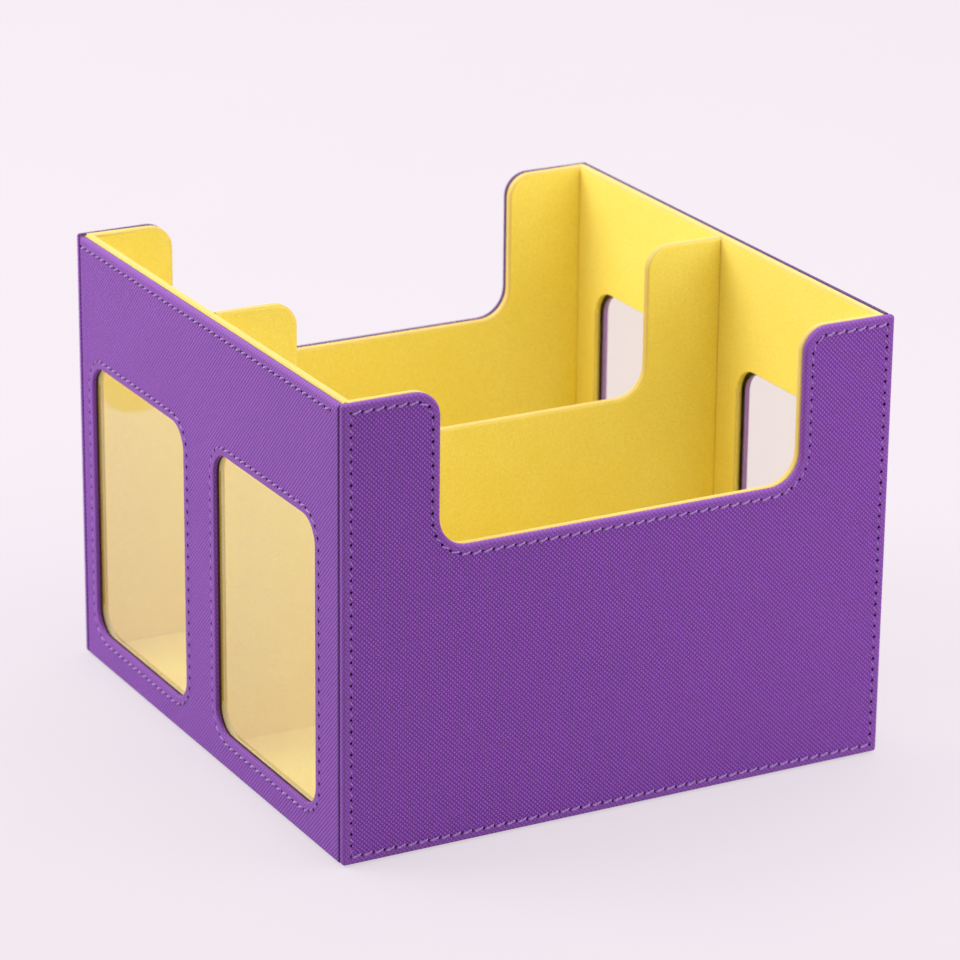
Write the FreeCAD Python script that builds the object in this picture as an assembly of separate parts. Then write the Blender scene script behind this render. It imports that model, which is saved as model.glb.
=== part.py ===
import FreeCAD, Part
import os

# Open-topped two-row card tray: leather-faced outside, felt-lined inside, a felt
# divider down the middle and clear windows in the front and back walls.
# Millimetres, +Z up, +X to the right along the front, front wall facing -Y.
# Origin at the centre of the underside.

# Outside of the tray.
width = 190.0
depth = 188.0
height = 145.0

# Sheets the walls are built up from.
leather_thickness = 0.6
panel_board_thickness = 1.4
liner_board_thickness = 2.2
felt_thickness = 0.6
divider_board_thickness = 1.8
base_board_thickness = 1.8
bottom_cover_thickness = 0.6
film_thickness = 0.4
film_frame_thickness = 0.8

# Finger notch shared by both side walls and the divider.
notch_length = 124.2
notch_depth = 49.5
notch_shoulder_round = 8.0
notch_floor_round = 10.0

# One window. Seen from in front the two openings of a wall stand a little to the
# left of the centre lines of the rows.
window_width = 69.5
window_height = 92.3
window_bottom = 11.6
window_corner_round = 8.0
window_shift = -3.8

# How far the lining stands back from the leather opening, and how far the dark
# frame and the film tuck in behind the leather.
lining_setback = 1.3
film_overlap = 3.6
film_clearance = 0.2

# Rolled edges of the leather and of the felt.
leather_edge_round = 1.0
felt_edge_round = 1.0

# Sewn seams: thread laid flush in a pressed groove.
thread_width = 0.7
thread_thickness = 0.3
seam_inset = 2.7
top_seam_inset = 2.9
top_seam_left_inset = 1.4
top_seam_right_inset = 5.2

# The front panel stops a little below the rim of the lining, and the ends of the
# front and back panels leave a fine gap at the side panels.
front_panel_drop = 0.6
corner_gap = 0.3

# The cover under the tray stops short of the walls.
bottom_cover_inset = 2.5

# Sizes that follow from the ones above.
panel = leather_thickness + panel_board_thickness
liner = liner_board_thickness + felt_thickness
wall = panel + liner
divider = divider_board_thickness + 2 * felt_thickness
panel_bottom = bottom_cover_thickness
liner_bottom = panel_bottom + base_board_thickness
floor_top = liner_bottom + felt_thickness
notch_half = notch_length / 2
notch_floor = height - notch_depth
row_centre = (divider / 2 + width / 2 - wall) / 2
front_half_span = width / 2 - panel - corner_gap
lining_half_span = width / 2 - panel
side_half_span = depth / 2
same_plane = 1e-6

LEFT = -1
RIGHT = 1


def outline_wire(corners, y):
    """Closed wire at depth y through square corners given as (x, z, radius)."""
    points = [FreeCAD.Vector(x, y, z) for x, z, _ in corners]
    starts = []
    ends = []
    arcs = []
    for index, point in enumerate(points):
        radius = corners[index][2]
        back = (points[index - 1] - point).normalize()
        ahead = (points[(index + 1) % len(points)] - point).normalize()
        centre = point + (back + ahead) * radius
        start = point + back * radius
        end = point + ahead * radius
        starts.append(start)
        ends.append(end)
        if radius > 0:
            middle = centre - (back + ahead).normalize() * radius
            arcs.append(Part.Arc(start, middle, end).toShape())
        else:
            arcs.append(None)
    edges = []
    for index, arc in enumerate(arcs):
        if arc is not None:
            edges.append(arc)
        following = starts[(index + 1) % len(points)]
        edges.append(Part.makeLine(ends[index], following))
    return Part.Wire(edges)


def plate(corners, y, thickness):
    """Flat plate standing on edge, its front at depth y."""
    face = Part.Face(outline_wire(corners, y))
    return face.extrude(FreeCAD.Vector(0, thickness, 0))


def rectangle(left, right, bottom, top, radius=0.0):
    """Corners of an upright rectangle."""
    return [(left, bottom, radius), (right, bottom, radius),
            (right, top, radius), (left, top, radius)]


def plain_outline(half_span, bottom, inset):
    """Wall outline without a notch, its top edge moved in by inset."""
    return rectangle(-half_span, half_span, bottom, height - inset)


def notched_outline(half_span, bottom, inset):
    """Wall outline with the finger notch, top and notch moved in by inset."""
    top = height - inset
    edge = notch_half + inset
    floor = notch_floor - inset
    shoulder = notch_shoulder_round - inset
    hollow = notch_floor_round + inset
    return [(-half_span, bottom, 0), (half_span, bottom, 0), (half_span, top, 0),
            (edge, top, shoulder), (edge, floor, hollow),
            (-edge, floor, hollow), (-edge, top, shoulder), (-half_span, top, 0)]


def window_outline(side, grow):
    """Corners of one window opening, made larger all round by grow."""
    centre = side * row_centre + window_shift
    half = window_width / 2 + grow
    bottom = window_bottom - grow
    top = window_bottom + window_height + grow
    return rectangle(centre - half, centre + half, bottom, top,
                     window_corner_round + grow)


def cut_windows(shape, sides, grow, y, thickness):
    """Shape with the window openings taken out."""
    for side in sides:
        shape = shape.cut(plate(window_outline(side, grow), y, thickness))
    return shape


def edges_at(shape, y):
    """Edges of the shape that lie flat at depth y."""
    found = []
    for edge in shape.Edges:
        box = edge.BoundBox
        if abs(box.YMin - y) < same_plane and abs(box.YMax - y) < same_plane:
            found.append(edge)
    return found


def film_stack_outline(side, clearance):
    """Outer corners of a window film and of the frame that holds it."""
    return window_outline(side, film_overlap + clearance)


def cut_frame_pockets(shape, windows, reach):
    """Shape with the recess for each dark frame taken out of its back."""
    y = -reach + panel - film_frame_thickness
    for side in windows:
        corners = film_stack_outline(side, film_clearance)
        shape = shape.cut(plate(corners, y, film_frame_thickness))
    return shape


def panel_board(outline, half_span, drop, reach, windows):
    """Stiff board inside one outer panel, its top lowered by drop."""
    y = -reach + leather_thickness
    corners = outline(half_span - leather_thickness,
                      panel_bottom + leather_thickness, drop + leather_thickness)
    board = plate(corners, y, panel_board_thickness)
    board = cut_windows(board, windows, leather_thickness, y, panel_board_thickness)
    return cut_frame_pockets(board, windows, reach)


def panel_leather(outline, half_span, drop, reach, windows, threads):
    """Leather over the face and round every edge of the board."""
    skin = plate(outline(half_span, panel_bottom, drop), -reach, panel)
    skin = cut_windows(skin, windows, 0, -reach, panel)
    skin = skin.makeFillet(leather_edge_round, edges_at(skin, -reach))
    skin = skin.cut(panel_board(outline, half_span, drop, reach, windows))
    skin = cut_frame_pockets(skin, windows, reach)
    for thread in threads:
        skin = skin.cut(thread)
    return skin


def mitre(half_span, reach):
    """Upright prism that ends a liner at 45 degrees in both corners."""
    outer = -reach + panel
    inner = outer + liner
    corners = [FreeCAD.Vector(-half_span, outer, 0), FreeCAD.Vector(half_span, outer, 0),
               FreeCAD.Vector(half_span - liner, inner, 0),
               FreeCAD.Vector(-half_span + liner, inner, 0)]
    plan = Part.Face(Part.makePolygon(corners + corners[:1]))
    return plan.extrude(FreeCAD.Vector(0, 0, height))


def liner_pieces(outline, half_span, reach, windows):
    """Board and felt of one inner wall."""
    outer = -reach + panel
    inner = outer + liner
    ends = mitre(half_span, reach)
    body = plate(outline(half_span, liner_bottom, 0), outer, liner)
    body = cut_windows(body, windows, lining_setback, outer, liner)
    rims = []
    for edge in edges_at(body, inner):
        middle = edge.CenterOfMass
        above = middle.z > liner_bottom + same_plane
        between = abs(middle.x) < half_span - same_plane
        if above and between:
            rims.append(edge)
    body = body.makeFillet(felt_edge_round, rims).common(ends)
    for side in windows:
        pocket = plate(film_stack_outline(side, film_clearance), outer, film_thickness)
        body = body.cut(pocket)
    core = plate(outline(half_span, liner_bottom, felt_thickness), outer,
                 liner_board_thickness)
    core = cut_windows(core, windows, lining_setback + felt_thickness, outer, liner)
    board = body.common(core)
    cover = body.cut(core)
    return board, cover


def film_pieces(side, reach):
    """Dark frame in the back of the panel and the clear film behind it."""
    outer = -reach + panel
    y = outer - film_frame_thickness
    frame = plate(film_stack_outline(side, 0), y, film_frame_thickness)
    frame = cut_windows(frame, [side], 0, y, film_frame_thickness)
    film = plate(film_stack_outline(side, 0), outer, film_thickness)
    return frame, film


def ring(outer_corners, inner_corners, reach):
    """Closed line of thread between two outlines, flush with the face."""
    band = plate(outer_corners, -reach, thread_thickness)
    return band.cut(plate(inner_corners, -reach, thread_thickness))


def side_thread(reach):
    """Seam that follows the whole outline of a side panel."""
    outlines = []
    for inset in (seam_inset - thread_width / 2, seam_inset + thread_width / 2):
        outlines.append(notched_outline(side_half_span - inset, panel_bottom + inset, inset))
    return ring(outlines[0], outlines[1], reach)


def window_thread(side, reach):
    """Seam round one window."""
    outer = window_outline(side, seam_inset + thread_width / 2)
    inner = window_outline(side, seam_inset - thread_width / 2)
    return ring(outer, inner, reach)


def top_thread(drop, reach):
    """Straight seam under the top edge of the front or back panel."""
    left = -front_half_span + top_seam_left_inset
    right = front_half_span - top_seam_right_inset
    level = height - drop - top_seam_inset
    corners = rectangle(left, right, level - thread_width / 2, level + thread_width / 2)
    return plate(corners, -reach, thread_thickness)


def turned(shape, quarter_turns):
    """Copy of a piece turned about the upright axis of the tray."""
    copy = shape.copy()
    copy.rotate(FreeCAD.Vector(0, 0, 0), FreeCAD.Vector(0, 0, 1), 90 * quarter_turns)
    return copy


def divider_felt():
    """Felt on one face of the divider, lapped half way over its edges."""
    half_span = depth / 2 - wall
    half = divider / 2
    body = plate(notched_outline(half_span, floor_top, 0), -half, half)
    rims = []
    for edge in edges_at(body, -half):
        middle = edge.CenterOfMass
        above = middle.z > floor_top + same_plane
        between = abs(middle.x) < half_span - same_plane
        if above and between:
            rims.append(edge)
    body = body.makeFillet(felt_edge_round, rims)
    return body.cut(divider_core())


def divider_core():
    """Stiff board of the divider, drawn along X."""
    half_span = depth / 2 - wall - felt_thickness
    corners = notched_outline(half_span, floor_top, felt_thickness)
    return plate(corners, -divider_board_thickness / 2, divider_board_thickness)


def slab(half_width, half_depth, bottom, thickness):
    """Level sheet centred on the tray."""
    corner = FreeCAD.Vector(-half_width, -half_depth, bottom)
    return Part.makeBox(2 * half_width, 2 * half_depth, thickness, corner)


parts = {}

# Underside and floor.
parts["bottom_cover"] = slab(width / 2 - bottom_cover_inset, depth / 2 - bottom_cover_inset,
                             0, bottom_cover_thickness)
parts["base_board"] = slab(width / 2 - panel, depth / 2 - panel,
                           panel_bottom, base_board_thickness)
parts["base_felt"] = slab(width / 2 - wall, depth / 2 - wall, liner_bottom, felt_thickness)

# Front and back walls, each drawn as a front and the back one turned round.
sides = (LEFT, RIGHT)
reach = depth / 2
window_threads = {side: window_thread(side, reach) for side in sides}
liner_core, liner_cover = liner_pieces(plain_outline, lining_half_span, reach, sides)
for name, quarter_turns, drop in (("front", 0, front_panel_drop), ("back", 2, 0)):
    top_line = top_thread(drop, reach)
    leather = panel_leather(plain_outline, front_half_span, drop, reach, sides,
                            [top_line] + list(window_threads.values()))
    board = panel_board(plain_outline, front_half_span, drop, reach, sides)
    parts[name + "_panel_board"] = turned(board, quarter_turns)
    parts[name + "_panel_leather"] = turned(leather, quarter_turns)
    parts[name + "_top_stitching"] = turned(top_line, quarter_turns)
    parts[name + "_liner_board"] = turned(liner_core, quarter_turns)
    parts[name + "_liner_felt"] = turned(liner_cover, quarter_turns)
    for side in sides:
        placed = side if quarter_turns == 0 else -side
        label = name + ("_left" if placed == LEFT else "_right")
        frame, film = film_pieces(side, reach)
        parts[label + "_film_frame"] = turned(frame, quarter_turns)
        parts[label + "_film"] = turned(film, quarter_turns)
        parts[label + "_window_stitching"] = turned(window_threads[side], quarter_turns)

# Side walls with the finger notch.
reach = width / 2
seam = side_thread(reach)
leather = panel_leather(notched_outline, side_half_span, 0, reach, (), [seam])
board = panel_board(notched_outline, side_half_span, 0, reach, ())
liner_core, liner_cover = liner_pieces(notched_outline, depth / 2 - panel, reach, ())
for name, quarter_turns in (("right", 1), ("left", -1)):
    parts[name + "_panel_board"] = turned(board, quarter_turns)
    parts[name + "_panel_leather"] = turned(leather, quarter_turns)
    parts[name + "_panel_stitching"] = turned(seam, quarter_turns)
    parts[name + "_liner_board"] = turned(liner_core, quarter_turns)
    parts[name + "_liner_felt"] = turned(liner_cover, quarter_turns)

# Divider between the rows.
felt = divider_felt()
parts["divider_board"] = turned(divider_core(), 1)
parts["divider_right_felt"] = turned(felt, 1)
parts["divider_left_felt"] = turned(felt, -1)

os.makedirs("parts", exist_ok=True)
for name, shape in parts.items():
    shape.exportStep("parts/" + name + ".step")
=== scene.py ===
import math
from contextlib import contextmanager

import bmesh
import bpy
from mathutils import Matrix, Vector


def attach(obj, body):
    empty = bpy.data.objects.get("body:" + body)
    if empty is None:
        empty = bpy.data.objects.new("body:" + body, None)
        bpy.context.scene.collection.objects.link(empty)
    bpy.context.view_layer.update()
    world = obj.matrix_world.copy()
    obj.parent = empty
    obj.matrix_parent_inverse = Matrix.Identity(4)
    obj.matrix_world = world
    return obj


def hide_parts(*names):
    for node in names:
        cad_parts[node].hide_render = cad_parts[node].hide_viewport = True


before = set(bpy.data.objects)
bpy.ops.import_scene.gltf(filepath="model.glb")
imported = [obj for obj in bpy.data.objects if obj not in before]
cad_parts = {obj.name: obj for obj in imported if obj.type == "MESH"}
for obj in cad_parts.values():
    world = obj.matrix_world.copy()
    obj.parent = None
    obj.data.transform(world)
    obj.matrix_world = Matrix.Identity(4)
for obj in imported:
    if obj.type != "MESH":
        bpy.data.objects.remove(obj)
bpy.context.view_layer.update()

# Two-row card tray: purple cross-grain leatherette outside, yellow suede felt inside,
# clear film windows front and back. Sizes below are millimetres, as in the frame.
MM = 0.001

WIDTH = 190.0
DEPTH = 188.0
HEIGHT = 145.0

LEATHER = 0.6
PANEL = 2.0
LINER = 2.8
WALL = PANEL + LINER
FELT = 0.6
DIVIDER = 3.0
PANEL_BOTTOM = 0.6
LINER_BOTTOM = 2.4
FLOOR_TOP = 3.0

NOTCH_HALF = 62.1
NOTCH_FLOOR = 95.5
NOTCH_SHOULDER = 8.0
NOTCH_HOLLOW = 10.0

WINDOW_WIDTH = 69.5
WINDOW_HEIGHT = 92.3
WINDOW_BOTTOM = 11.6
WINDOW_CORNER = 8.0
WINDOW_CENTRES = (-49.65, 42.05)
LINING_SETBACK = 1.3
FRAME = 0.8
FILM = 0.4
FILM_TUCK = 3.8
FRONT_DROP = 0.6
CORNER_GAP = 0.3

LEATHER_ROLL = 1.0
WINDOW_ROLL = 0.6
LEATHER_BACK_ROLL = 0.3
CORNER_ROLL = 0.35
SIDE_SETBACK = 0.25
FELT_ROLL = 1.1
FELT_OUTER_ROLL = 0.9
FELT_CORNER_ROLL = 1.2
FELT_WINDOW_ROLL = 0.5
FELT_FILM_ROLL = 1.6
FELT_ROLL_MARGIN = 0.2
FELT_CREASE = 0.5
LAP_EDGE = 0.15

# Floor felt: two rings that follow its outline, and how far its edge is tucked down.
FLOOR_RING = 6.0
FLOOR_TUCK = 0.35

# Cover under the tray: set in from the walls, its border pressed in as a line.
COVER_MARGIN = 2.5
COVER_CORNER = 12.0
COVER_RIM = 0.4
COVER_BORDER = 7.0
COVER_LINE = 1.2
COVER_PRESS = 0.2
COVER_EDGE = 0.25

# Sewing: lockstitch sunk in a pressed line. Holes nearer than HOLE_APART are one hole.
STITCH_PITCH = 3.7
SEAM_INSET = 2.7
TOP_SEAM_INSET = 2.9
TOP_SEAM_LEFT = 1.4
TOP_SEAM_RIGHT = 5.2
GROOVE_WIDTH = 0.7
GROOVE_LIP = 0.12
GROOVE_DEPTH = 0.12
HOLE_RADIUS = 0.6
HOLE_DEPTH = 0.42
HOLE_APART = 1.0
NEEDLE_SIDES = 8
NEEDLE_TAPER = 0.6
THREAD_WIDTH = 1.0
THREAD_SLANT = math.radians(14)
UPRIGHT_SINK = 0.38

# One stitch: a tube squashed in depth, each ring of it turned on from the last. Past
# DIP_START of its half length it dips and gets narrower, down to its tips in the holes.
STITCH_SHARE = 0.96
STITCH_SIDES = 6
STITCH_RINGS = 6
RING_TURN = math.radians(30)
SQUASH = 0.62
DIP_START = 0.55
DIP = 0.55
TIP_NARROWING = 0.35

ARC_STEPS = 10
NEAR = 0.02

# Cutting blocks reach this far past the surface that they cut.
OVERREACH = 1.0

# An edge that rises by more than UPRIGHT_LENGTH runs up a wall, and one that rises by more
# than TALL_LENGTH is one of its ends. Faces within RIM_BAND below a rim belong to it, and
# the lowest FOOT of the felt never gets the painted rim shade or the painted window light.
UPRIGHT_LENGTH = 1.0
TALL_LENGTH = 10.0
RIM_BAND = 2.0
FOOT = 1.0

# Every wall is modelled facing as the front wall does, so its outside looks along -Y.
OUTSIDE = -1
INSIDE = 1

# Limits on the part of a face's normal that lies along an axis. Above FLAT the face looks
# straight along the axis, above NEARLY_FLAT nearly so, and below SIDE_ON it stands edge on.
# Below UNROLLED it is on a roll, below FELT_RIM_LIMIT on a felt rim, above END_ROLL on the roll
# at a wall's end, and above UPWARD on the upper side of a rim.
FLAT = 0.999
NEARLY_FLAT = 0.9
SIDE_ON = 0.1
UNROLLED = 0.98
FELT_RIM_LIMIT = 0.9
END_ROLL = 0.35
UPWARD = 0.2

# Places of the finishes, the painted shade and the painted light in the leather and felt
# material lists.
HOLE_SHADE = 1
PAINTED_SHADE = 2
STRETCHED = 3
RIM_SHADE = 1
WINDOW_LIGHT = 2


# ---------------------------------------------------------------- modelling helpers

def only(*objects):
    """Leaves just these objects selected, the first one active."""
    active = bpy.context.view_layer.objects.active
    if active is not None and active.mode != "OBJECT":
        bpy.ops.object.mode_set(mode="OBJECT")
    bpy.ops.object.select_all(action="DESELECT")
    for item in objects:
        item.select_set(True)
    bpy.context.view_layer.objects.active = objects[0]


@contextmanager
def editing(piece):
    """Edit mode on one piece, nothing selected at the start."""
    only(piece)
    bpy.ops.object.mode_set(mode="EDIT")
    bpy.ops.mesh.select_mode(type="VERT")
    bpy.ops.mesh.select_all(action="DESELECT")
    yield
    bpy.ops.object.mode_set(mode="OBJECT")


def pick_faces(piece, test):
    """Selects the faces for which test(centre in mm, normal) holds."""
    bpy.ops.mesh.select_mode(type="FACE")
    bpy.ops.mesh.select_all(action="DESELECT")
    mesh = bmesh.from_edit_mesh(piece.data)
    for face in mesh.faces:
        if test(face.calc_center_median() / MM, face.normal):
            face.select_set(True)
    bmesh.update_edit_mesh(piece.data)


def pick_edges(piece, test):
    """Selects the edges for which test(end a, end b in mm, normals of its faces) holds."""
    bpy.ops.mesh.select_mode(type="EDGE")
    bpy.ops.mesh.select_all(action="DESELECT")
    mesh = bmesh.from_edit_mesh(piece.data)
    for edge in mesh.edges:
        ends = [vertex.co / MM for vertex in edge.verts]
        if test(ends[0], ends[1], [face.normal for face in edge.link_faces]):
            edge.select_set(True)
    bmesh.update_edit_mesh(piece.data)


def modify(piece, kind, **settings):
    """Adds a modifier with these settings and applies it."""
    only(piece)
    modifier = piece.modifiers.new(kind.title(), kind)
    for name, value in settings.items():
        setattr(modifier, name, value)
    bpy.ops.object.modifier_apply(modifier=modifier.name)


def carve(piece, cutter, solver="EXACT"):
    """Takes the cutter's shape out of the piece and removes the cutter."""
    modify(piece, "BOOLEAN", operation="DIFFERENCE", solver=solver, object=cutter)
    bpy.data.objects.remove(cutter)


def block(name, left, right, front, back, bottom, top):
    """Rectangular block between these six faces."""
    bpy.ops.object.select_all(action="DESELECT")
    bpy.ops.mesh.primitive_cube_add(size=1)
    piece = bpy.context.object
    piece.name = piece.data.name = name
    piece.scale = Vector((right - left, back - front, top - bottom)) * MM
    piece.location = Vector((left + right, front + back, bottom + top)) * MM / 2
    bpy.ops.object.transform_apply(location=True, rotation=True, scale=True)
    return piece


def round_across(piece, spots, radius, steps=ARC_STEPS):
    """Rounds the edges that run front to back through these (x, z) spots."""
    def here(a, b, normals):
        if abs(a.x - b.x) > NEAR or abs(a.z - b.z) > NEAR:
            return False
        return any(abs(a.x - x) < NEAR and abs(a.z - z) < NEAR for x, z in spots)
    with editing(piece):
        pick_edges(piece, here)
        bpy.ops.mesh.bevel(offset=radius * MM, segments=steps, affect="EDGES")


def dissolve_flat_lines(piece):
    """Removes edges left between two faces of one plane."""
    with editing(piece):
        pick_edges(piece, lambda a, b, n: len(n) == 2 and n[0].dot(n[1]) > FLAT)
        bpy.ops.mesh.dissolve_edges(use_verts=True)


def notched_block(name, half_span, front, back, bottom, inset, mitre=0.0):
    """Upright wall with the finger notch: a low block with both ends raised.
    Its outline is moved in by inset, and its back is shorter by mitre at each end."""
    edge = NOTCH_HALF + inset
    low = NOTCH_FLOOR - inset
    top = HEIGHT - inset
    piece = block(name, -half_span, half_span, front, back, bottom, low)
    with editing(piece):
        pick_faces(piece, lambda centre, normal: normal.y > FLAT)
        bpy.ops.transform.resize(value=((half_span - mitre) / half_span, 1, 1),
                                 center_override=(0, 0, 0))
        for x in (-edge, edge):
            bpy.ops.mesh.select_all(action="SELECT")
            bpy.ops.mesh.bisect(plane_co=(x * MM, 0, 0), plane_no=(1, 0, 0))
        pick_faces(piece, lambda centre, normal: normal.z > FLAT and abs(centre.x) > edge)
        bpy.ops.mesh.extrude_region_move(
            TRANSFORM_OT_translate={"value": (0, 0, (top - low) * MM)})
    dissolve_flat_lines(piece)
    round_across(piece, [(-edge, low), (edge, low)], NOTCH_HOLLOW + inset)
    round_across(piece, [(-edge, top), (edge, top)], NOTCH_SHOULDER - inset)
    return piece


def plain_block(name, half_span, front, back, bottom, inset, mitre=0.0):
    """Upright wall without a notch, its back shorter by mitre at each end."""
    piece = block(name, -half_span, half_span, front, back, bottom, HEIGHT - inset)
    with editing(piece):
        pick_faces(piece, lambda centre, normal: normal.y > FLAT)
        bpy.ops.transform.resize(value=((half_span - mitre) / half_span, 1, 1),
                                 center_override=(0, 0, 0))
    return piece


def window_plug(centre, grow, front, back):
    """Round-cornered block that fills one window opening grown all round."""
    half = WINDOW_WIDTH / 2 + grow
    bottom = WINDOW_BOTTOM - grow
    top = WINDOW_BOTTOM + WINDOW_HEIGHT + grow
    plug = block("window plug", centre - half, centre + half, front, back, bottom, top)
    spots = [(centre - half, bottom), (centre + half, bottom),
             (centre - half, top), (centre + half, top)]
    round_across(plug, spots, WINDOW_CORNER + grow)
    return plug


def turned_copy(piece, name, quarter_turns):
    """Copy of a piece turned about the tray's upright axis, with its own mesh."""
    copy = piece.copy()
    copy.data = piece.data.copy()
    copy.name = copy.data.name = name
    bpy.context.collection.objects.link(copy)
    only(copy)
    copy.rotation_euler.z = math.radians(90 * quarter_turns)
    bpy.ops.object.transform_apply(location=True, rotation=True, scale=True)
    return copy


def finish_surface(piece, angle=35.0):
    """Smooth rolls beside flat faces that stay flat."""
    only(piece)
    bpy.ops.object.shade_smooth_by_angle(angle=math.radians(angle))
    modify(piece, "WEIGHTED_NORMAL", keep_sharp=True, weight=100)


# ---------------------------------------------------------------- outlines for the sewing

def arc(centre, radius, start, end):
    """Points along an arc in the wall's plane, angles in degrees."""
    points = []
    for step in range(ARC_STEPS + 1):
        turn = math.radians(start + (end - start) * step / ARC_STEPS)
        points.append((centre[0] + radius * math.cos(turn),
                       centre[1] + radius * math.sin(turn)))
    return points


def window_line(centre, inset):
    """Closed line round a window, inset outside its edge."""
    inner = WINDOW_WIDTH / 2 - WINDOW_CORNER
    low = WINDOW_BOTTOM + WINDOW_CORNER
    high = WINDOW_BOTTOM + WINDOW_HEIGHT - WINDOW_CORNER
    radius = WINDOW_CORNER + inset
    line = arc((centre + inner, low), radius, -90, 0)
    line += arc((centre + inner, high), radius, 0, 90)
    line += arc((centre - inner, high), radius, 90, 180)
    line += arc((centre - inner, low), radius, 180, 270)
    return line + line[:1]


def notched_lines(inset):
    """Sewing runs of a side panel, one from corner to corner: bottom, ends and top."""
    half = DEPTH / 2 - inset
    bottom = PANEL_BOTTOM + inset
    top = HEIGHT - inset
    edge = NOTCH_HALF + inset
    shoulder = NOTCH_SHOULDER - inset
    hollow = NOTCH_HOLLOW + inset
    low = NOTCH_FLOOR - inset
    over = [(half, top)]
    over += arc((edge + shoulder, top - shoulder), shoulder, 90, 180)
    over += arc((edge - hollow, low + hollow), hollow, 0, -90)
    over += arc((hollow - edge, low + hollow), hollow, 270, 180)
    over += arc((-edge - shoulder, top - shoulder), shoulder, 0, 90)
    over += [(-half, top)]
    return [[(-half, bottom), (half, bottom)], [(half, bottom), (half, top)],
            over, [(-half, top), (-half, bottom)]]


def top_line(drop):
    """Sewing run under the top edge of the front or back panel."""
    half = WIDTH / 2 - PANEL - CORNER_GAP
    level = HEIGHT - drop - TOP_SEAM_INSET
    return [(half - TOP_SEAM_RIGHT, level), (TOP_SEAM_LEFT - half, level)]


def spaced(line, pitch):
    """Points spread evenly along a line, close to pitch apart."""
    lengths = [0.0]
    for a, b in zip(line, line[1:]):
        lengths.append(lengths[-1] + math.dist(a, b))
    count = round(lengths[-1] / pitch)
    points = []
    index = 0
    for step in range(count + 1):
        target = lengths[-1] * step / count
        while index < len(line) - 2 and lengths[index + 1] < target:
            index += 1
        share = (target - lengths[index]) / (lengths[index + 1] - lengths[index])
        a, b = line[index], line[index + 1]
        points.append((a[0] + (b[0] - a[0]) * share, a[1] + (b[1] - a[1]) * share))
    return points


# ---------------------------------------------------------------- sewing

def copies_joined(name, model, places):
    """Copies of a model at (x, y, z, turn about Y, stretch along X), joined as one."""
    made = []
    for x, y, z, turn, stretch in places:
        copy = model.copy()
        copy.data = model.data.copy()
        bpy.context.collection.objects.link(copy)
        copy.location = Vector((x, y, z)) * MM
        copy.rotation_euler.y = turn
        copy.scale.x = stretch
        made.append(copy)
    bpy.data.objects.remove(model)
    only(*made)
    bpy.ops.object.transform_apply(location=True, rotation=True, scale=True)
    bpy.ops.object.join()
    joined = bpy.context.object
    joined.name = joined.data.name = name
    return joined


def needle_model():
    """Tapered needle point, pointing along +Y from the face."""
    bpy.ops.object.select_all(action="DESELECT")
    depth = 2 * HOLE_DEPTH
    bpy.ops.mesh.primitive_cone_add(vertices=NEEDLE_SIDES, radius1=HOLE_RADIUS * MM,
                                    radius2=HOLE_RADIUS * NEEDLE_TAPER * MM,
                                    depth=depth * MM, rotation=(-math.pi / 2, 0, 0))
    needle = bpy.context.object
    bpy.ops.object.transform_apply(location=True, rotation=True, scale=True)
    for finish in LEATHER_FINISHES_AND_PAINTED_SHADE:
        needle.data.materials.append(finish)
    # The hole it cuts is lined with painted shade.
    for polygon in needle.data.polygons:
        polygon.material_index = HOLE_SHADE
    return needle


def stitch_model():
    """One stitch of two-ply thread between two needle holes, 1 mm long along X:
    a squashed tube, each ring turned on a little, its ends drawn down into the holes."""
    bpy.ops.object.select_all(action="DESELECT")
    bpy.ops.mesh.primitive_circle_add(vertices=STITCH_SIDES, radius=THREAD_WIDTH / 2 * MM,
                                      fill_type="NOTHING", location=(-0.5 * MM, 0, 0),
                                      rotation=(0, math.pi / 2, 0))
    stitch = bpy.context.object
    bpy.ops.object.transform_apply(location=True, rotation=True, scale=True)
    with editing(stitch):
        bpy.ops.mesh.select_all(action="SELECT")
        bpy.ops.transform.resize(value=(1, SQUASH, 1), center_override=(-0.5 * MM, 0, 0))
        for ring in range(STITCH_RINGS):
            bpy.ops.mesh.extrude_region_move(
                TRANSFORM_OT_translate={"value": (MM / STITCH_RINGS, 0, 0)})
            here = (-0.5 + (ring + 1) / STITCH_RINGS) * MM
            bpy.ops.transform.rotate(value=RING_TURN, orient_axis="X",
                                     center_override=(here, 0, 0))
        bpy.ops.mesh.select_all(action="SELECT")
        mesh = bmesh.from_edit_mesh(stitch.data)
        for vertex in mesh.verts:
            along = abs(vertex.co.x) / (0.5 * MM)
            sunk = max(0.0, along - DIP_START) / (1 - DIP_START)
            vertex.co.y += DIP * MM * sunk ** 2
            vertex.co.z *= 1 - TIP_NARROWING * sunk
        bmesh.update_edit_mesh(stitch.data)
        bpy.ops.mesh.select_mode(type="EDGE")
        bpy.ops.mesh.select_all(action="DESELECT")
        bpy.ops.mesh.select_non_manifold()
        bpy.ops.mesh.edge_face_add()
        bpy.ops.mesh.select_all(action="SELECT")
        bpy.ops.mesh.normals_make_consistent(inside=False)
    return stitch


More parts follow.
